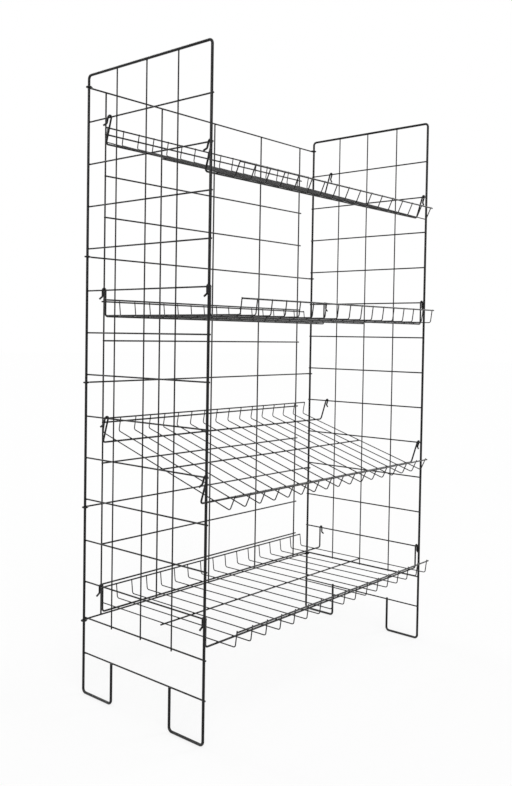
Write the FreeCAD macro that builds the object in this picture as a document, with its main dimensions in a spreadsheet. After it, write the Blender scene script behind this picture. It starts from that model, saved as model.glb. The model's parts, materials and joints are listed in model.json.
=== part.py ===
"""Wire display rack: two side panels, a back panel hung on them by eyes, and four hook-on shelves.

Millimetres. The origin is on the floor at the middle of the four posts, +Z up, the front towards -Y.
"""
import FreeCAD
import Part
import Sketcher
import math
import os

doc = FreeCAD.newDocument("wire_display_rack")

# Driving dimensions, each written once. Wire sizes are diameters and levels are between wire centres.
SIZES = {
    # side panels
    "frame_width": 908.0,
    "frame_depth": 406.4,
    "frame_wire": 6.35,
    "frame_bend": 9.0,
    "foot_length": 104.0,
    "rail_wire": 3.8,
    "rail_overhang": 0.8,
    "rail_count": 12,
    "rail_pitch": 101.6,
    "foot_rail_level": 98.4,
    "lower_rail_rise": 87.3,
    "shelf_rail_rise": 88.9,
    "top_bar_rise": 8.0,
    "upright_wire": 3.4,
    "upright_tail": 4.0,
    # back panel
    "back_wire": 4.1,
    "back_drop": 19.2,
    "bottom_row_gap": 2.0,
    "back_inset": 61.0,
    "back_spacing": 203.2,
    "back_overhang": 5.0,
    "eye_clearance": 0.3,
    "eye_turn": 218.0,
    "eye_tail": 9.3,
    # shelves
    "hook_wire": 4.5,
    "hook_drop": 62.0,
    "hook_inset": 57.7,
    "hook_inner_radius": 2.6,
    "hook_leg": 12.5,
    "hook_flare": 54.0,
    "hook_flare_bend": 4.0,
    "hook_flare_length": 8.5,
    "support_bend": 7.0,
    "cross_wire": 2.7,
    "cross_count": 17,
    "cross_inset": 37.0,
    "cross_bend": 6.0,
    "front_overhang": 53.0,
    "stop_height": 34.5,
    "stop_lean": 7.0,
    "stop_gap": 4.3,
    "lip_height": 35.0,
    "lip_lean": 7.5,
    "edge_wire": 3.8,
    "edge_overhang": 3.0,
    "middle_wire": 3.8,
    "middle_overhang": 6.0,
    # fits
    "weld_gap": 0.03,
    "seat_gap": 0.3,
    "post_gap": 0.4,
}

# Places worked out from those sizes, so that what seats or lines up shares one value.
PLACES = {
    "side_x": "Sizes.frame_width / 2",
    "post_y": "Sizes.frame_depth / 2",
    "rail_x": "side_x - (Sizes.frame_wire + Sizes.rail_wire) / 2 - Sizes.weld_gap",
    "upright_x": "rail_x + (Sizes.rail_wire + Sizes.upright_wire) / 2 + Sizes.weld_gap",
    "lower_rail": "Sizes.foot_rail_level + Sizes.lower_rail_rise",
    "lowest_rail": "lower_rail + Sizes.shelf_rail_rise",
    "highest_rail": "lowest_rail + (Sizes.rail_count - 1) * Sizes.rail_pitch",
    "top_bar": "highest_rail + Sizes.rail_pitch + Sizes.top_bar_rise",
    "upright_top": "top_bar - Sizes.frame_wire / 2 - Sizes.weld_gap",
    "upright_foot": "lower_rail - Sizes.upright_tail",
    "eye_radius": "(Sizes.frame_wire + Sizes.back_wire) / 2 + Sizes.eye_clearance",
    "back_row_y": "post_y + eye_radius",
    "back_upright_y": "back_row_y + Sizes.back_wire + Sizes.weld_gap",
    "back_half": "side_x - Sizes.back_inset",
    "top_row": "highest_rail + Sizes.rail_pitch - Sizes.back_drop",
    "bottom_row": "lower_rail - (Sizes.rail_wire + Sizes.back_wire) / 2 - Sizes.bottom_row_gap",
    "arch_radius": "Sizes.hook_inner_radius + Sizes.hook_wire / 2",
    "leg_x": "rail_x - arch_radius",
    "arch_level": "Sizes.hook_drop + Sizes.rail_wire / 2 + Sizes.seat_gap - Sizes.hook_inner_radius",
    "front_bearing": "(Sizes.frame_wire + Sizes.hook_wire) / 2 + Sizes.post_gap",
    "hook_span": "Sizes.frame_depth - Sizes.hook_inset - front_bearing",
    "floor_level": "(Sizes.hook_wire + Sizes.cross_wire) / 2 + Sizes.weld_gap",
    "edge_offset": "(Sizes.cross_wire + Sizes.edge_wire) / 2 + Sizes.weld_gap",
    "stop_reach": "Sizes.stop_height * sin(Sizes.stop_lean) + edge_offset * cos(Sizes.stop_lean)",
    "rear_overhang": "Sizes.hook_inset + eye_radius - Sizes.back_wire / 2 - Sizes.stop_gap"
                     " - Sizes.edge_wire / 2 - stop_reach",
    "cross_half": "leg_x - Sizes.cross_inset",
}

# Side rails that each shelf hooks on, rear and front, counted from the top: unequal rails tilt the shelf.
SHELF_RAILS = ((1, 2), (5, 5), (8, 9), (12, 12))
# Back rows, counted from the top, whose wires run on to the posts and end in eyes.
HINGE_ROWS = (1, 5, 8, 11)
SIDES = (("left", -1), ("right", 1))


def fill_sheet(name, cells):
    """A spreadsheet with one named value a row: what it is in column A, the value itself in column B."""
    sheet = doc.addObject("Spreadsheet::Sheet", name)
    for row, (alias, content) in enumerate(cells.items(), 1):
        sheet.set(f"A{row}", alias.replace("_", " "))
        sheet.set(f"B{row}", content)
        sheet.setAlias(f"B{row}", alias)
    doc.recompute()
    return sheet


sizes = fill_sheet("Sizes", {alias: str(size) for alias, size in SIZES.items()})
fill_sheet("Places", {alias: "=" + formula for alias, formula in PLACES.items()})


def value(formula):
    """The number that a formula on the sheets gives, in millimetres or degrees."""
    result = sizes.evalExpression(formula)
    return float(getattr(result, "Value", result))


def hold(sketch, kind, *where, size):
    """One dimension of a sketch, tied to a formula on the sheets."""
    number = value(size)
    if kind == "Angle":
        number = math.radians(number)
    index = sketch.addConstraint(Sketcher.Constraint(kind, *where, number))
    sketch.setExpression(f"Constraints[{index}]", size)


def place(body, x="0", y="0", z="0", tilt=None):
    """Puts a finished body where formulas say, turned about X by the tilt."""
    body.Placement = FreeCAD.Placement(FreeCAD.Vector(), FreeCAD.Rotation(FreeCAD.Vector(1, 0, 0), 1))
    body.setExpression("Placement.Base.x", x)
    body.setExpression("Placement.Base.y", y)
    body.setExpression("Placement.Base.z", z)
    body.setExpression("Placement.Rotation.Angle", tilt or "0 deg")


def new_body(label):
    """An empty body whose label is the name of its node."""
    body = doc.addObject("PartDesign::Body", label)
    body.Label = label
    body.AllowCompound = True
    return body


def origin_feature(body, role):
    """A base plane or axis of the body, by its role."""
    return next(feature for feature in body.Origin.OriginFeatures if feature.Role == role)


def new_sketch(body, suffix, support, mode):
    """A sketch of the body attached to a plane or to the start of a path."""
    sketch = body.newObject("Sketcher::SketchObject", f"{body.Label}_{suffix}")
    sketch.AttachmentSupport = support
    sketch.MapMode = mode
    return sketch


def add_round(sketch, diameter, across="0", up="0"):
    """A wire's round section at a point of the sketch."""
    centre = FreeCAD.Vector(value(across), value(up), 0)
    circle = sketch.addGeometry(Part.Circle(centre, FreeCAD.Vector(0, 0, 1), value(diameter) / 2), False)
    hold(sketch, "DistanceX", -1, 1, circle, 3, size=across)
    hold(sketch, "DistanceY", -1, 1, circle, 3, size=up)
    hold(sketch, "Diameter", circle, size=diameter)


def straight_wires(label, plane, diameter, length, spots=(("0", "0"),)):
    """Straight wires of one length, square to a base plane and centred on it, one at each spot."""
    body = new_body(label)
    section = new_sketch(body, "section", (origin_feature(body, plane), [""]), "FlatFace")
    for across, up in spots:
        add_round(section, diameter, across, up)
    wires = body.newObject("PartDesign::Pad", f"{label}_wires")
    wires.Profile = section
    wires.SideType = "Symmetric"
    wires.setExpression("Length", length)
    return body


def bend_path(sketch, start, heading, steps):
    """A wire's centre line as a wire former bends it: runs (a length) and bends (a radius and a turn).

    Every run is held by its length and its heading, and every bend is tangent to the runs beside it.
    """
    x, y = value(start[0]), value(start[1])
    before = None
    for step in steps:
        if isinstance(step, str):
            angle = math.radians(value(heading))
            ahead = FreeCAD.Vector(math.cos(angle), math.sin(angle), 0) * value(step)
            begin = FreeCAD.Vector(x, y, 0)
            run = sketch.addGeometry(Part.LineSegment(begin, begin + ahead), False)
            if before is None:
                hold(sketch, "DistanceX", -1, 1, run, 1, size=start[0])
                hold(sketch, "DistanceY", -1, 1, run, 1, size=start[1])
            else:
                sketch.addConstraint(Sketcher.Constraint("Tangent", *before, run, 1))
            hold(sketch, "Distance", run, size=step)
            whole_turns = 360 * round(value(heading) / 360)
            hold(sketch, "Angle", -1, 1, run, 1, size=f"({heading} - {whole_turns}) * 1 deg")
            x, y = x + ahead.x, y + ahead.y
            before = (run, 2)
        else:
            radius, turn = step
            angle = math.radians(value(heading))
            side = math.copysign(1, value(turn))
            centre_x = x - side * value(radius) * math.sin(angle)
            centre_y = y + side * value(radius) * math.cos(angle)
            first = math.atan2(y - centre_y, x - centre_x)
            last = first + math.radians(value(turn))
            circle = Part.Circle(FreeCAD.Vector(centre_x, centre_y, 0), FreeCAD.Vector(0, 0, 1), value(radius))
            bend = sketch.addGeometry(Part.ArcOfCircle(circle, min(first, last), max(first, last)), False)
            begin_end, far_end = (1, 2) if side > 0 else (2, 1)
            sketch.addConstraint(Sketcher.Constraint("Tangent", *before, bend, begin_end))
            hold(sketch, "Radius", bend, size=radius)
            x = centre_x + value(radius) * math.cos(last)
            y = centre_y + value(radius) * math.sin(last)
            heading = f"{heading} + {turn}"
            before = (bend, far_end)


def bent_wire(label, plane, diameter, start, heading, steps):
    """One wire bent in a base plane: its round section carried along the bend path."""
    body = new_body(label)
    path = new_sketch(body, "path", (origin_feature(body, plane), [""]), "FlatFace")
    bend_path(path, start, heading, steps)
    doc.recompute()
    section = new_sketch(body, "section", [(path, "Edge1")], "NormalToEdge")
    section.MapPathParameter = 0.0
    add_round(section, diameter)
    wire = body.newObject("PartDesign::AdditivePipe", f"{label}_wire")
    wire.Profile = section
    wire.Spine = (path, [f"Edge{number + 1}" for number in range(len(path.Geometry))])
    return body


def repeat_along_x(body, count, length):
    """Copies of the body's wire, evenly spaced along X over the length."""
    row = body.newObject("PartDesign::LinearPattern", f"{body.Label}_row")
    row.Originals = [body.Tip]
    row.Direction = (origin_feature(body, "X_Axis"), [""])
    row.setExpression("Length", length)
    row.setExpression("Occurrences", count)
    body.Tip = row


def rail_level(number):
    """The height of a shelf rail, counted from the top, where 0 is one pitch above the first."""
    return f"Places.highest_rail - {number - 1} * Sizes.rail_pitch"


def side_panel(side, sign):
    """A side panel: one frame wire bent to an arch with looped feet, and a welded grid inside it."""
    inner_leg = "Sizes.foot_rail_level + Sizes.rail_wire / 2 - Sizes.frame_wire / 2 - Sizes.frame_bend"
    foot_run = "Sizes.foot_length - 2 * Sizes.frame_bend"
    post_run = "Places.top_bar - Sizes.frame_wire / 2 - 2 * Sizes.frame_bend"
    bend = ("Sizes.frame_bend", "-90")
    frame = bent_wire(
        f"{side}_frame_wire", "YZ_Plane", "Sizes.frame_wire",
        ("Sizes.foot_length - Places.post_y", "Sizes.foot_rail_level + Sizes.rail_wire / 2"), "270",
        [inner_leg, bend, foot_run, bend, post_run, bend, "Sizes.frame_depth - 2 * Sizes.frame_bend",
         bend, post_run, bend, foot_run, bend, inner_leg])
    place(frame, x=f"{sign} * Places.side_x")

    rail_length = "Sizes.frame_depth + 2 * Sizes.rail_overhang"
    rail_spots = [("0", f"-{row} * Sizes.rail_pitch") for row in range(int(value("Sizes.rail_count")))]
    rail_x = f"{sign} * Places.rail_x"
    rails = straight_wires(f"{side}_shelf_rails", "XZ_Plane", "Sizes.rail_wire", rail_length, rail_spots)
    place(rails, x=rail_x, z="Places.highest_rail")
    lower = straight_wires(f"{side}_lower_rail", "XZ_Plane", "Sizes.rail_wire", rail_length)
    place(lower, x=rail_x, z="Places.lower_rail")
    foot = straight_wires(f"{side}_foot_rail", "XZ_Plane", "Sizes.rail_wire", rail_length)
    place(foot, x=rail_x, z="Sizes.foot_rail_level")

    quarters = [("0", f"{quarter} * Sizes.frame_depth / 4") for quarter in (-1, 0, 1)]
    uprights = straight_wires(f"{side}_upright_wires", "XY_Plane", "Sizes.upright_wire",
                              "Places.upright_top - Places.upright_foot", quarters)
    place(uprights, x=f"{sign} * Places.upright_x", z="(Places.upright_top + Places.upright_foot) / 2")
    return [frame, rails, lower, foot, uprights]


def hinge_wire(label, level):
    """A back wire that runs from post to post and ends in an eye round each rear post."""
    half_eye = "Sizes.eye_turn - 180"
    tail_x = f"Places.eye_radius * sin({half_eye}) + Sizes.eye_tail * cos({half_eye})"
    tail_y = f"Sizes.eye_tail * sin({half_eye}) - Places.eye_radius * cos({half_eye})"
    eye = ("Places.eye_radius", "-1 * Sizes.eye_turn")
    wire = bent_wire(label, "XY_Plane", "Sizes.back_wire", (f"{tail_x} - Places.side_x", tail_y),
                     "Sizes.eye_turn", ["Sizes.eye_tail", eye, "Sizes.frame_width", eye, "Sizes.eye_tail"])
    place(wire, y="Places.post_y", z=level)
    return wire


def back_panel():
    """The back panel: rows of wire welded to five uprights behind them, some rows ending in eyes."""
    row_count = int(value("Sizes.rail_count")) + 1
    hinges = [hinge_wire(f"back_hinge_wire_{number}", f"{rail_level(row - 1)} - Sizes.back_drop")
              for number, row in enumerate(HINGE_ROWS, 1)]
    hinges.append(hinge_wire(f"back_hinge_wire_{len(HINGE_ROWS) + 1}", "Places.bottom_row"))

    short_spots = [("0", f"-{row - 1} * Sizes.rail_pitch")
                   for row in range(1, row_count + 1) if row not in HINGE_ROWS]
    rows = straight_wires("back_row_wires", "YZ_Plane", "Sizes.back_wire",
                          "2 * (Places.back_half + Sizes.back_overhang)", short_spots)
    place(rows, y="Places.back_row_y", z="Places.top_row")

    columns = ("-1 * Places.back_half", "-1 * Sizes.back_spacing", "0", "Sizes.back_spacing", "Places.back_half")
    uprights = straight_wires("back_upright_wires", "XY_Plane", "Sizes.back_wire",
                              "Places.top_row - Places.bottom_row + Sizes.back_wire",
                              [(column, "0") for column in columns])
    place(uprights, y="Places.back_upright_y", z="(Places.top_row + Places.bottom_row) / 2")
    return hinges + [rows, uprights]


def shelf(number, rear_rail, front_rail):
    """A hook-on shelf: cross wires bent up at both ends, welded on two hook wires and a middle wire.

    It is drawn level, with the rear hook wire on the X axis, and then tilted to reach both its rails.
    """
    tilt = f"asin({front_rail - rear_rail} * Sizes.rail_pitch / Places.hook_span)"
    top_of_hook = "(Sizes.hook_drop + Sizes.rail_wire / 2 + Sizes.seat_gap + Sizes.hook_wire / 2)"
    shelf_y = f"Places.front_bearing - Places.post_y + Places.hook_span * cos({tilt}) + {top_of_hook} * sin({tilt})"
    shelf_z = f"{rail_level(rear_rail)} - Sizes.hook_drop * cos({tilt})"

    def seat(body, along="0", up="0"):
        """Places a piece of the shelf at a distance along its floor and up from its hook wires."""
        place(body, y=f"{shelf_y} + ({along}) * cos({tilt}) - ({up}) * sin({tilt})",
              z=f"{shelf_z} + ({along}) * sin({tilt}) + ({up}) * cos({tilt})", tilt=tilt)
        return body

    def hook_wire(name, along):
        """A support wire whose ends rise, arch over the side rails and flare out at the tips."""
        tip_x = ("-1 * Places.rail_x - Places.arch_radius - Sizes.hook_flare_length * sin(Sizes.hook_flare)"
                 " - Sizes.hook_flare_bend * (1 - cos(Sizes.hook_flare))")
        tip_z = ("Places.arch_level - Sizes.hook_leg - Sizes.hook_flare_length * cos(Sizes.hook_flare)"
                 " - Sizes.hook_flare_bend * sin(Sizes.hook_flare)")
        flare = ("Sizes.hook_flare_bend", "Sizes.hook_flare")
        arch = ("Places.arch_radius", "-180")
        corner = ("Sizes.support_bend", "90")
        inner_leg = "Places.arch_level - Sizes.support_bend"
        wire = bent_wire(
            f"shelf_{number}_{name}", "XZ_Plane", "Sizes.hook_wire", (tip_x, tip_z), "90 - Sizes.hook_flare",
            ["Sizes.hook_flare_length", flare, "Sizes.hook_leg", arch, inner_leg, corner,
             "2 * (Places.leg_x - Sizes.support_bend)",
             corner, inner_leg, arch, "Sizes.hook_leg", flare, "Sizes.hook_flare_length"])
        return seat(wire, along)

    def cross_wires():
        """The floor wires, each bent up into the backstop at the rear and into the lip at the front."""
        stop_turn = "(90 - Sizes.stop_lean)"
        lip_turn = "(90 - Sizes.lip_lean)"
        stop_run = "Sizes.stop_height + Sizes.edge_wire / 2"
        lip_run = "Sizes.lip_height + Sizes.edge_wire / 2"
        stop_trim = f"Sizes.cross_bend * tan({stop_turn} / 2)"
        lip_trim = f"Sizes.cross_bend * tan({lip_turn} / 2)"
        start = (f"Places.rear_overhang + ({stop_run}) * sin(Sizes.stop_lean)", f"({stop_run}) * cos(Sizes.stop_lean)")
        floor_run = f"Places.rear_overhang + Places.hook_span + Sizes.front_overhang - {stop_trim} - {lip_trim}"
        wires = bent_wire(
            f"shelf_{number}_cross_wires", "YZ_Plane", "Sizes.cross_wire", start, "270 - Sizes.stop_lean",
            [f"{stop_run} - {stop_trim}", ("Sizes.cross_bend", f"-1 * {stop_turn}"), floor_run,
             ("Sizes.cross_bend", f"-1 * {lip_turn}"), f"{lip_run} - {lip_trim}"])
        repeat_along_x(wires, "Sizes.cross_count", "2 * Places.cross_half")
        seat(wires, up="Places.floor_level")
        wires.setExpression("Placement.Base.x", "-1 * Places.cross_half")
        return wires

    def cross_bar(name, diameter, overhang, along, up):
        """A straight wire across all the cross wires."""
        bar = straight_wires(f"shelf_{number}_{name}", "YZ_Plane", diameter, f"2 * (Places.cross_half + {overhang})")
        return seat(bar, along, up)

    stop_y = "Places.rear_overhang + Places.stop_reach"
    stop_z = ("Places.floor_level + Sizes.stop_height * cos(Sizes.stop_lean)"
              " - Places.edge_offset * sin(Sizes.stop_lean)")
    lip_y = ("-1 * Places.hook_span - Sizes.front_overhang - Sizes.lip_height * sin(Sizes.lip_lean)"
             " - Places.edge_offset * cos(Sizes.lip_lean)")
    lip_z = "Places.floor_level + Sizes.lip_height * cos(Sizes.lip_lean) - Places.edge_offset * sin(Sizes.lip_lean)"
    middle_z = "Places.floor_level - (Sizes.cross_wire + Sizes.middle_wire) / 2 - Sizes.weld_gap"
    return [
        hook_wire("rear_hook_wire", "0"),
        hook_wire("front_hook_wire", "-1 * Places.hook_span"),
        cross_wires(),
        cross_bar("middle_wire", "Sizes.middle_wire", "Sizes.middle_overhang", "-1 * Places.hook_span / 2", middle_z),
        cross_bar("backstop_wire", "Sizes.edge_wire", "Sizes.edge_overhang", stop_y, stop_z),
        cross_bar("lip_wire", "Sizes.edge_wire", "Sizes.edge_overhang", lip_y, lip_z),
    ]


nodes = [node for side, sign in SIDES for node in side_panel(side, sign)]
nodes += back_panel()
nodes += [node for number, rails in enumerate(SHELF_RAILS, 1) for node in shelf(number, *rails)]
doc.recompute()

faults = [item.Label for item in doc.Objects if {"Invalid", "Error"} & set(item.State)]
faults += [node.Label for node in nodes if node.Shape.isNull() or not node.Shape.isValid()]
if faults:
    raise RuntimeError("these did not build: " + ", ".join(faults))

os.makedirs("parts", exist_ok=True)
for node in nodes:
    node.Shape.exportStep(f"parts/{node.Label}.step")
print(f"{len(nodes)} nodes, {sum(len(node.Shape.Solids) for node in nodes)} solids")
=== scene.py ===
"""A free-standing wire display rack in glossy black: gridded panels, looped feet, hook-on shelves."""
import json
import math

import bpy
import numpy as np
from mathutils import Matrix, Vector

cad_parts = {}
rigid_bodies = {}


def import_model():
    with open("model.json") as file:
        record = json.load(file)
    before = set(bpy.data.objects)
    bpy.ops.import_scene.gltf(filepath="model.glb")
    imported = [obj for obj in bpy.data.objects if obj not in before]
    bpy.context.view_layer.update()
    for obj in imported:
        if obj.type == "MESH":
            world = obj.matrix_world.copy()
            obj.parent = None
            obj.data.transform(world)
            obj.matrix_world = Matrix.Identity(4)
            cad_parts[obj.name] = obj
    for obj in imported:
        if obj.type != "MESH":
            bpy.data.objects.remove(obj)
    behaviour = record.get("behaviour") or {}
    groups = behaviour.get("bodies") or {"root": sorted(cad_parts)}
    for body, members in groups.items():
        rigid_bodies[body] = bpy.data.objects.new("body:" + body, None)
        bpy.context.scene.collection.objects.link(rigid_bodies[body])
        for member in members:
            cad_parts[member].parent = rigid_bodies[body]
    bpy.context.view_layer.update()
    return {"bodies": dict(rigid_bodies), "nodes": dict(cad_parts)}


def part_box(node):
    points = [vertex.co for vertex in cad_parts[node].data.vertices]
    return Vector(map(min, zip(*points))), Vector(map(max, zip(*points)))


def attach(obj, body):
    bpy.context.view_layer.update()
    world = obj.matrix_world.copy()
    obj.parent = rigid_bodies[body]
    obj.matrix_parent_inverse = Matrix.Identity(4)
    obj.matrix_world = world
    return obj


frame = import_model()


# Side panels.
# Each is one thick steel wire bent to an arch with looped feet. Rails are welded across its inner
# side and thin uprights to the rails, and the whole panel is then powder coated in glossy black.

class Finish:
    """One value in a node tree. Sums, differences and products of values become Math nodes."""

    def __init__(self, tree, socket=None):
        self.tree, self.socket = tree, socket

    def node(self, kind, settings=None, inputs=None, output=0):
        """Adds any node: its type, its settings, then the values or links of its sockets."""
        made = self.tree.nodes.new(kind)
        for name, setting in (settings or {}).items():
            setattr(made, name, setting)
        for name, given in (inputs or {}).items():
            if isinstance(given, Finish):
                self.tree.links.new(given.socket, made.inputs[name])
            else:
                made.inputs[name].default_value = given
        return Finish(self.tree, made.outputs[output] if len(made.outputs) else None)

    def clamped(self):
        """The value held between 0 and 1."""
        return self.node("ShaderNodeClamp", inputs={"Value": self})

    def _maths(self, operation, first, second):
        return self.node("ShaderNodeMath", {"operation": operation}, {0: first, 1: second})

    def __add__(self, other):
        return self._maths("ADD", self, other)

    __radd__ = __add__

    def __sub__(self, other):
        return self._maths("SUBTRACT", self, other)

    def __rsub__(self, other):
        return self._maths("SUBTRACT", other, self)

    def __mul__(self, other):
        return self._maths("MULTIPLY", self, other)

    __rmul__ = __mul__


def speckle(place, per_metre, detail):
    """Noise from 0 to 1, with about so many blotches to the metre."""
    return place.node("ShaderNodeTexNoise",
                      inputs={"Vector": place, "Scale": per_metre, "Detail": detail})


MIX_AMOUNT, MIX_UNDER, MIX_OVER, MIX_COLOUR = 0, 6, 7, 2


def covered(under, over, amount):
    """One colour laid over another: under + amount x (over - under)."""
    return amount.node("ShaderNodeMix", {"data_type": "RGBA"},
                       {MIX_AMOUNT: amount, MIX_UNDER: under, MIX_OVER: over}, MIX_COLOUR)


COAT_BLACK = (0.004, 0.004, 0.0042, 1)
DUST_GREY = (0.035, 0.033, 0.030, 1)
RUBBED_GREY = (0.10, 0.10, 0.102, 1)
COAT_SPECULAR = 0.2
PATCHES_PER_METRE, PEEL_PER_METRE, NIBS_PER_METRE = 8.0, 620.0, 330.0
DUST_COVER = 0.7
PATCHES_DULL, DUST_DULLS, WEAR_DULLS = 0.08, 0.15, 0.1
NIB_STEEPNESS, NIB_RISE, BUMP_STRENGTH = 5, 0.6, 0.35


def black_coat(name, worn, roughness, grain):
    """Powder coat: black, greyed by dust on upward faces and by wear where worn(...) says.

    The roughness given grows with broad patches, dust and wear. The bump is an orange peel with
    fine nibs of powder in it, as deep as the grain.
    """
    material = bpy.data.materials.new(name)
    material.use_nodes = True
    material.node_tree.nodes.clear()
    start = Finish(material.node_tree)
    place = start.node("ShaderNodeTexCoord", output="Object")
    facing = start.node("ShaderNodeNewGeometry", output="Normal")
    upward = start.node("ShaderNodeSeparateXYZ", inputs={"Vector": facing}, output="Z").clamped()
    patches = speckle(place, PATCHES_PER_METRE, detail=4.0)
    peel = speckle(place, PEEL_PER_METRE, detail=2.0)
    nibs = start.node("ShaderNodeTexVoronoi",
                      inputs={"Vector": place, "Scale": NIBS_PER_METRE}, output="Distance")
    dust = upward * upward * patches * DUST_COVER
    wear = worn(place, upward)
    height = peel + NIB_RISE * (1 - NIB_STEEPNESS * nibs).clamped()
    coat = start.node("ShaderNodeBsdfPrincipled", inputs={
        "Base Color": covered(covered(COAT_BLACK, DUST_GREY, dust), RUBBED_GREY, wear),
        "Roughness": roughness + PATCHES_DULL * patches + DUST_DULLS * dust + WEAR_DULLS * wear,
        "Normal": start.node("ShaderNodeBump", inputs={
            "Strength": BUMP_STRENGTH, "Distance": grain, "Height": height}),
        "Specular IOR Level": COAT_SPECULAR})
    start.node("ShaderNodeOutputMaterial", inputs={"Surface": coat})
    return material


X, Y, Z = 0, 1, 2
RIGHT, REAR, UP = np.eye(3)


def span(node, axis):
    """The lowest and highest place of a node along an axis."""
    return np.array(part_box(node))[:, axis]


def half_across(node, axis):
    """Half of a node's extent along an axis: the radius of a wire that runs straight past it."""
    return np.ptp(span(node, axis)) / 2


def box_middle(node):
    """The middle of a node's box."""
    low, high = np.array(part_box(node))
    return (low + high) / 2


HOOK_RUB, FOOT_SCUFF = 0.010, 0.012
STREAKS_PER_METRE = 160.0
SCUFF_CONTRAST, SCUFF_START = 3, 1
RUB_SHARE, SCUFF_SHARE = 0.7, 0.6


def panel_wear(place, upward):
    """Rail tops rubbed by the hooks of level shelves, and feet scuffed where they meet the floor.

    Rubbed: 1 - (distance from the hook / half width) squared. Scuffed: 1 - height / limit.
    """
    y = place.node("ShaderNodeSeparateXYZ", inputs={"Vector": place}, output="Y")
    z = place.node("ShaderNodeSeparateXYZ", inputs={"Vector": place}, output="Z")
    streaks = speckle(place, STREAKS_PER_METRE, detail=3.0)
    behind = (y - float(box_middle("shelf_2_rear_hook_wire")[Y])) * (1 / HOOK_RUB)
    before = (y - float(box_middle("shelf_2_front_hook_wire")[Y])) * (1 / HOOK_RUB)
    near_hook = (1 - behind * behind).clamped() + (1 - before * before).clamped()
    near_floor = (1 - z * (1 / FOOT_SCUFF)).clamped()
    scuffed = near_floor * (SCUFF_CONTRAST * streaks - SCUFF_START).clamped()
    return (RUB_SHARE * (near_hook * upward * streaks) + SCUFF_SHARE * scuffed).clamped()


PEEL_DEPTH, RIPPLE_DEPTH = 0.00016, 0.0003
panel_coat = black_coat("panel_coat", panel_wear, roughness=0.14, grain=PEEL_DEPTH)
weld_coat = black_coat("weld_coat", panel_wear, roughness=0.18, grain=RIPPLE_DEPTH)


def coat_nodes(material, names):
    """Gives solids of the frame their finish."""
    for name in names:
        mesh = frame["nodes"][name].data
        mesh.materials.clear()
        mesh.materials.append(material)


def wire_points(node):
    """Every corner of a node's mesh, as rows of x, y and z."""
    mesh = frame["nodes"][node].data
    points = np.empty(3 * len(mesh.vertices))
    mesh.vertices.foreach_get("co", points)
    return points.reshape(-1, 3)


WIRE_GAP = 0.008


def wire_lines(node, axis):
    """Where a node's wires lie along an axis, and their radius.

    The corners are sorted along the axis and split wherever the next one is a wide gap away.
    """
    spread = np.sort(wire_points(node)[:, axis])
    breaks = np.flatnonzero(np.diff(spread) > WIRE_GAP)
    first, last = spread[np.r_[0, breaks + 1]], spread[np.r_[breaks, len(spread) - 1]]
    return (first + last) / 2, (last[0] - first[0]) / 2


def crossings(x, y, z):
    """The points where every x, y and z given meet."""
    return np.stack(np.meshgrid(x, y, z, indexing="ij"), -1).reshape(-1, 3)


def ring_faces(around, rings):
    """Quads between neighbouring rings of corners, and two fans that close the outer rings.

    Ring follows ring in the points, and then come the first fan's point and the last fan's.
    """
    here = np.arange(around)
    beside = (here + 1) % around
    rows = around * np.arange(rings - 1)[:, None]
    above = rows + around
    quads = np.stack([rows + here, rows + beside, above + beside, above + here], -1)
    last, tip = around * (rings - 1), np.full(around, around * rings)
    return (quads.reshape(-1, 4), np.stack([beside, here, tip], -1),
            np.stack([last + here, last + beside, tip + 1], -1))


def add_piece(name, body, material, points, faces):
    """One object of many small shapes alike in build: each copy of the points gets the faces."""
    copies, each = points.shape[:2]
    shift = each * np.arange(copies)[:, None, None]
    whole = []
    for part in faces:
        whole += (part + shift).reshape(-1, part.shape[1]).tolist()
    mesh = bpy.data.meshes.new(name)
    mesh.from_pydata(points.reshape(-1, 3).tolist(), [], whole)
    mesh.polygons.foreach_set("use_smooth", np.ones(len(mesh.polygons), bool))
    mesh.materials.append(material)
    piece = bpy.data.objects.new(name, mesh)
    bpy.context.scene.collection.objects.link(piece)
    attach(piece, body)


BEAD_AROUND, BEAD_RINGS = 8, 4
BEAD_FACES = ring_faces(BEAD_AROUND, BEAD_RINGS)
BEAD_UNEVEN, BEAD_BEAT = 0.12, 2.4


def beads(places, along, across, half_sizes):
    """Weld beads: ellipsoids at the places given, each a little larger or smaller than the next.

    At turn u and height v a point lies half a length x cos u cos v along the bead, half a width x
    sin u cos v across it and half a depth x sin v out of it. The sizes follow a sine wave.
    """
    u = np.linspace(0, 2 * np.pi, BEAD_AROUND, endpoint=False)
    v = np.linspace(-np.pi / 2, np.pi / 2, BEAD_RINGS + 2)[1:-1, None]
    rings = np.stack([np.cos(v) * np.cos(u), np.cos(v) * np.sin(u), np.sin(v) + 0 * u], -1)
    unit = np.vstack([rings.reshape(-1, 3), -UP, UP]) * half_sizes
    shape = unit @ np.stack([along, across, np.cross(along, across)])
    uneven = 1 + BEAD_UNEVEN * np.sin(np.arange(len(places)) * BEAD_BEAT)
    return places[:, None] + uneven[:, None, None] * shape


BEAD_REACH, BEAD_DEPTH = 1.3, 0.6


def bead_size(along_radius, across_radius):
    """Half sizes of the bead where a wire crosses the one it lies along.

    Its length is the crossing wire's width and a little more, so that it shows on both sides, its
    width is that of the wire it lies along, and its depth goes by the thinner wire.
    """
    depth = BEAD_DEPTH * min(along_radius, across_radius)
    return BEAD_REACH * across_radius, along_radius, depth


END_AROUND, END_TURNS = 12, np.radians((0, 35, 65))
END_FACES = ring_faces(END_AROUND, 1 + len(END_TURNS))
END_COLLAR, END_WIDTH, END_DOME = -0.4, 0.96, 0.16
ASKEW = (0.1, 0.2, 0.3)


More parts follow.
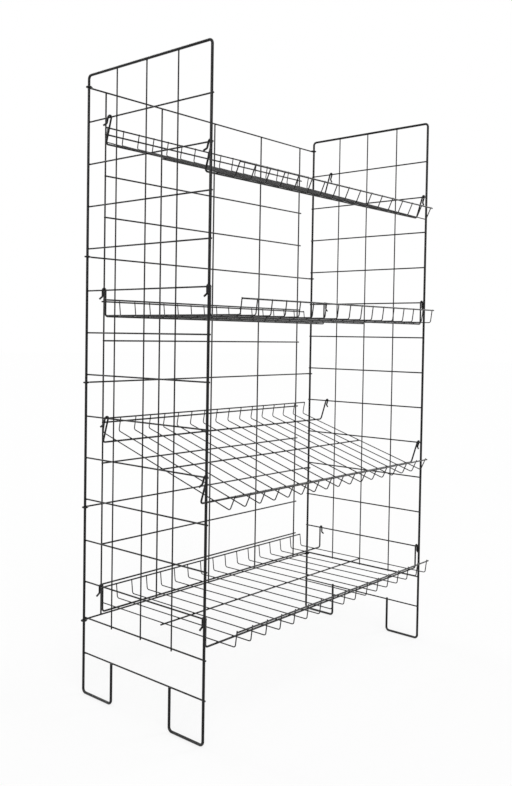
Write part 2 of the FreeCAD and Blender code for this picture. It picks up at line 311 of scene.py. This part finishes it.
def coated_ends(places, ahead, radius):
    """Cut ends rounded by the coat: a profile turned round the wire's line.

    A collar as wide as the wire lies inside the cut. Past it the rings step out with the sine of
    their turn and narrow with the root of its cosine, and a fan closes them.
    """
    ahead = ahead / np.linalg.norm(ahead)
    side = np.cross(ahead, np.roll(ahead, 1) + ASKEW)
    side /= np.linalg.norm(side)
    u = np.linspace(0, 2 * np.pi, END_AROUND, endpoint=False)
    reach = radius * np.r_[END_COLLAR, END_DOME * np.sin(END_TURNS)][:, None]
    wide = radius * np.r_[1, END_WIDTH * np.cos(END_TURNS) ** 0.5][:, None]
    rings = np.stack([wide * np.cos(u), wide * np.sin(u), reach + 0 * u], -1).reshape(-1, 3)
    points = np.vstack([rings, END_COLLAR * radius * UP, END_DOME * radius * UP])
    return places[:, None] + points @ np.stack([side, np.cross(ahead, side), ahead])


LEG_CUT = 0.0004
TOP_BEAD = np.array((1.2, 1.3, 0.9))

for side, outward in (("left", -1), ("right", 1)):
    frame_wire, uprights = f"{side}_frame_wire", f"{side}_upright_wires"
    rails, lower, foot = f"{side}_shelf_rails", f"{side}_lower_rail", f"{side}_foot_rail"
    coat_nodes(panel_coat, (frame_wire, rails, lower, foot, uprights))

    rail_levels, rail_radius = wire_lines(rails, Z)
    grid_levels = np.r_[rail_levels, box_middle(lower)[Z]]
    all_levels = np.r_[grid_levels, box_middle(foot)[Z]]
    upright_rows, upright_radius = wire_lines(uprights, Y)
    panel_x, rail_x, upright_x = (box_middle(node)[X] for node in (frame_wire, rails, uprights))
    post_radius = half_across(frame_wire, X)
    post_rows = span(frame_wire, Y) + (post_radius, -post_radius)

    # the inner leg of each foot ends level with the top of the foot rail
    leg_top = span(foot, Z)[1]
    corners = wire_points(frame_wire)
    leg_ends = corners[np.abs(corners[:, Z] - leg_top) < LEG_CUT, Y]
    leg_rows = np.array([leg_ends[leg_ends < 0].mean(), leg_ends[leg_ends > 0].mean()])

    # a rail stops at the post, so its bead reaches past the post's inner edge and only to the cut
    front, rear = span(rails, Y)
    inner, outer = BEAD_REACH * post_radius, rear - post_rows[1]
    bead_rows = post_rows + np.array((1, -1)) * (inner - outer) / 2
    leg_bead = bead_size(rail_radius, post_radius)
    post_bead = ((inner + outer) / 2, *leg_bead[1:])
    post_weld_x = panel_x - outward * post_radius
    upright_weld_x = upright_x - outward * upright_radius
    low_end, high_end = span(uprights, Z)
    add_piece(f"{side}_panel_welds", "frame", weld_coat, np.vstack([
        beads(crossings(post_weld_x, bead_rows, all_levels), REAR, UP, post_bead),
        beads(crossings(post_weld_x, leg_rows, all_levels[-1]), REAR, UP, leg_bead),
        beads(crossings(upright_weld_x, upright_rows, grid_levels), REAR, UP,
              bead_size(rail_radius, upright_radius)),
        beads(crossings(upright_x, upright_rows, high_end), RIGHT, REAR, upright_radius * TOP_BEAD),
    ]), BEAD_FACES)
    add_piece(f"{side}_panel_ends", "frame", panel_coat, np.vstack([
        coated_ends(crossings(rail_x, front, all_levels), -REAR, rail_radius),
        coated_ends(crossings(rail_x, rear, all_levels), REAR, rail_radius),
        coated_ends(crossings(upright_x, upright_rows, low_end), -UP, upright_radius),
        coated_ends(crossings(panel_x, leg_rows, leg_top), UP, post_radius),
    ]), END_FACES)


# Back panel.
# A welded grid of steel wire: short rows and five long hinge wires in front, five uprights behind
# them. The hinge wires end in eyes that are bent round the rear posts and hold the panel there.

back_rows, back_uprights = "back_row_wires", "back_upright_wires"
hinge_wires = [name for name in frame["nodes"] if name.startswith("back_hinge_wire")]
coat_nodes(panel_coat, [back_rows, back_uprights] + hinge_wires)

short_levels, back_radius = wire_lines(back_rows, Z)
hinge_levels = np.array([box_middle(name)[Z] for name in hinge_wires])
back_columns = wire_lines(back_uprights, X)[0]
row_y, column_y = box_middle(back_rows)[Y], box_middle(back_uprights)[Y]
back_crossings = crossings(back_columns, (row_y + column_y) / 2, np.r_[short_levels, hinge_levels])
add_piece("back_panel_welds", "frame", weld_coat,
          beads(back_crossings, RIGHT, UP, bead_size(back_radius, back_radius)), BEAD_FACES)

EYE_TAIL_TURN = math.radians(38)
FLAT_END = 0.0001


def far_end(points, ahead):
    """The middle of the flat end that lies furthest along a direction."""
    along = points @ ahead
    end = points[along > along.max() - FLAT_END]
    return (end.min(0) + end.max(0)) / 2


ends = [coated_ends(crossings(x, row_y, short_levels), turned * RIGHT, back_radius)
        for turned, x in zip((-1, 1), span(back_rows, X))]
ends += [coated_ends(crossings(back_columns, column_y, z), turned * UP, back_radius)
         for turned, z in zip((-1, 1), span(back_uprights, Z))]
for name in hinge_wires:
    corners = wire_points(name)
    for inward in (-1, 1):
        tail = inward * math.cos(EYE_TAIL_TURN) * RIGHT + math.sin(EYE_TAIL_TURN) * REAR
        eye = corners[corners[:, X] * inward < 0]
        ends.append(coated_ends(far_end(eye, tail)[None], tail, back_radius))
add_piece("back_panel_ends", "frame", panel_coat, np.vstack(ends), END_FACES)


# Shelves.
# Seventeen thin cross wires, bent up behind and in front, are welded on two hook wires and a middle
# wire, with one wire along the backstop and one along the lip. Four open hooks drop over the rails.

SLID_PATCH, SLID_STRETCH = 0.012, 0.12
SLID_CONTRAST, SLID_START, SLID_SHARE = 5, 2.5, 0.6


def shelf_wear(place, upward):
    """Coat dulled by what is slid over the wires: upward faces x noise drawn out along y."""
    drawn = place.node("ShaderNodeMapping",
                       inputs={"Vector": place, "Scale": (1, SLID_STRETCH, 1)})
    slid = speckle(drawn, 1 / SLID_PATCH, detail=5.0)
    return SLID_SHARE * upward * (SLID_CONTRAST * slid - SLID_START).clamped()


shelf_coat = black_coat("shelf_coat", shelf_wear, roughness=0.17, grain=PEEL_DEPTH)
shelf_weld_coat = black_coat("shelf_weld_coat", shelf_wear, roughness=0.20, grain=RIPPLE_DEPTH)

BACKSTOP_LEAN, LIP_LEAN, HOOK_FLARE = math.radians(7), math.radians(7.5), math.radians(54)
hook_radius = half_across("shelf_2_rear_hook_wire", Y)

for shelf in [name for name in frame["bodies"] if name.startswith("shelf")]:
    cross, middle = f"{shelf}_cross_wires", f"{shelf}_middle_wire"
    backstop, lip = f"{shelf}_backstop_wire", f"{shelf}_lip_wire"
    hooks = [f"{shelf}_rear_hook_wire", f"{shelf}_front_hook_wire"]
    coat_nodes(shelf_coat, hooks + [cross, middle, backstop, lip])

    # the straight run of a hook wire is its lowest and rearmost part, level or tilted
    runs = np.array([(0, span(hook, Y)[1] - hook_radius, span(hook, Z)[0] + hook_radius)
                     for hook in hooks])
    back = (runs[0] - runs[1]) / np.linalg.norm(runs[0] - runs[1])
    up = np.cross(RIGHT, back)
    stop_rise = math.sin(BACKSTOP_LEAN) * back + math.cos(BACKSTOP_LEAN) * up
    stop_front = math.sin(BACKSTOP_LEAN) * up - math.cos(BACKSTOP_LEAN) * back
    lip_rise = math.cos(LIP_LEAN) * up - math.sin(LIP_LEAN) * back
    lip_back = math.cos(LIP_LEAN) * back + math.sin(LIP_LEAN) * up

    # each wire's line and radius, the side that the cross wires lie on, and the way they run there
    columns, cross_radius = wire_lines(cross, X)
    bar_radius = half_across(middle, Z)
    add_piece(f"{shelf}_welds", shelf, shelf_weld_coat, np.vstack([
        beads(crossings(columns, *(line + radius * towards)[1:]), RIGHT, rise,
              bead_size(radius, cross_radius))
        for line, radius, towards, rise in (
            (runs[0], hook_radius, up, back),
            (runs[1], hook_radius, up, back),
            (box_middle(middle), bar_radius, up, back),
            (box_middle(backstop), bar_radius, stop_front, stop_rise),
            (box_middle(lip), bar_radius, lip_back, lip_rise))
    ]), BEAD_FACES)

    corners = wire_points(cross)
    ends = [coated_ends(crossings(columns, *far_end(corners, rise)[1:]), rise, cross_radius)
            for rise in (stop_rise, lip_rise)]
    for bar in (middle, backstop, lip):
        ends += [coated_ends(crossings(x, *box_middle(bar)[1:]), turned * RIGHT, bar_radius)
                 for turned, x in zip((-1, 1), span(bar, X))]
    for hook in hooks:
        corners = wire_points(hook)
        for outward in (-1, 1):
            flare = math.sin(HOOK_FLARE) * outward * RIGHT - math.cos(HOOK_FLARE) * up
            outside = corners[corners[:, X] * outward > abs(rail_x)]
            ends.append(coated_ends(far_end(outside, flare)[None], flare, hook_radius))
    add_piece(f"{shelf}_ends", shelf, shelf_coat, np.vstack(ends), END_FACES)


# Floor and light.
# A plain white floor that takes a faint shadow of the rack, in an even white room with one broad
# lamp above the camera's left shoulder. Smaller ones draw a line of gloss along the wires.

FLOOR_SIZE, FLOOR_LIFT = 60.0, 0.75
FLOOR_WHITE, ROOM_WHITE = (0.98, 0.98, 0.98, 1), (1, 1, 1, 1)


def seen_white(start):
    """1 for what the camera, a reflection or clear glass shows, 0 for light that falls on things."""
    paths = [start.node("ShaderNodeLightPath", output=name)
             for name in ("Is Camera Ray", "Is Glossy Ray", "Is Transmission Ray")]
    return (paths[0] + paths[1] + paths[2]).clamped()


def plain_floor():
    """A flat square round the rack, level with its feet: matt, lifted towards white where seen."""
    mesh = bpy.data.meshes.new("floor")
    corners = [(x * FLOOR_SIZE / 2, y * FLOOR_SIZE / 2, 0)
               for x, y in ((-1, -1), (1, -1), (1, 1), (-1, 1))]
    mesh.from_pydata(corners, [], [(0, 1, 2, 3)])
    material = bpy.data.materials.new("floor")
    material.use_nodes = True
    material.node_tree.nodes.clear()
    start = Finish(material.node_tree)
    matt = start.node("ShaderNodeBsdfDiffuse", inputs={"Color": FLOOR_WHITE})
    white = start.node("ShaderNodeEmission", inputs={"Color": ROOM_WHITE, "Strength": 1.0})
    both = start.node("ShaderNodeMixShader",
                      inputs={0: FLOOR_LIFT * seen_white(start), 1: matt, 2: white})
    start.node("ShaderNodeOutputMaterial", inputs={"Surface": both})
    mesh.materials.append(material)
    floor = bpy.data.objects.new("floor", mesh)
    bpy.context.scene.collection.objects.link(floor)


plain_floor()


def studio_lamp(name, towards, strength, spread):
    """A far lamp whose light travels along a direction, soft over the spread in degrees."""
    lamp = bpy.data.lights.new(name, "SUN")
    lamp.energy = strength
    lamp.angle = math.radians(spread)
    holder = bpy.data.objects.new(name, lamp)
    bpy.context.scene.collection.objects.link(holder)
    away = -np.array(towards) / np.linalg.norm(towards)
    side = np.cross(UP, away)
    side /= np.linalg.norm(side)
    columns = (side, np.cross(away, side), away)
    holder.matrix_world = [(*column, 0) for column in columns] + [(0, 0, 0, 1)]


studio_lamp("key_lamp", towards=(0.55, 0.75, -0.9), strength=1.3, spread=40)
studio_lamp("right_lamp", towards=(-0.8, 0.3, -0.52), strength=0.7, spread=20)
studio_lamp("left_lamp", towards=(0.95, 0.3, -0.22), strength=0.6, spread=14)
studio_lamp("rear_lamp", towards=(0, -0.72, -0.69), strength=0.5, spread=16)

ROOM_LIGHT = 0.44
room = bpy.data.worlds.new("room")
bpy.context.scene.world = room
room.use_nodes = True
room.node_tree.nodes.clear()
air = Finish(room.node_tree)
room_strength = ROOM_LIGHT + (1 - ROOM_LIGHT) * seen_white(air)
light = air.node("ShaderNodeBackground", inputs={"Color": ROOM_WHITE, "Strength": room_strength})
air.node("ShaderNodeOutputWorld", inputs={"Surface": light})
bpy.context.scene.view_settings.view_transform = "Standard"


# Camera.
# Stands in front of the rack to its left, at about the height of its middle, as the photograph was
# taken. The lens is given by its length in pixels and the pixel that its axis goes through.

PHOTO_WIDTH, PHOTO_HEIGHT = 512, 786
FOCAL_PIXELS = 854.9
AXIS_PIXEL = (236.7, 361.3)
CAMERA_PLACE = (-1.7654, -1.4451, 0.8831)
YAW, PITCH, ROLL = math.radians(48.48), math.radians(-1.733), math.radians(0.857)

lens = bpy.data.cameras.new("camera")
lens.sensor_fit = "VERTICAL"
lens.lens = FOCAL_PIXELS * lens.sensor_height / PHOTO_HEIGHT
lens.shift_x = (PHOTO_WIDTH / 2 - AXIS_PIXEL[0]) / PHOTO_HEIGHT
lens.shift_y = (AXIS_PIXEL[1] - PHOTO_HEIGHT / 2) / PHOTO_HEIGHT
camera = bpy.data.objects.new("camera", lens)
bpy.context.scene.collection.objects.link(camera)
level_ahead = math.sin(YAW) * RIGHT + math.cos(YAW) * REAR
ahead = math.cos(PITCH) * level_ahead + math.sin(PITCH) * UP
level = math.cos(YAW) * RIGHT - math.sin(YAW) * REAR
upright = np.cross(level, ahead)
right = math.cos(ROLL) * level + math.sin(ROLL) * upright
top = math.cos(ROLL) * upright - math.sin(ROLL) * level
camera.matrix_world = [(*column, 0) for column in (right, top, -ahead)] + [(*CAMERA_PLACE, 1)]
bpy.context.scene.camera = camera
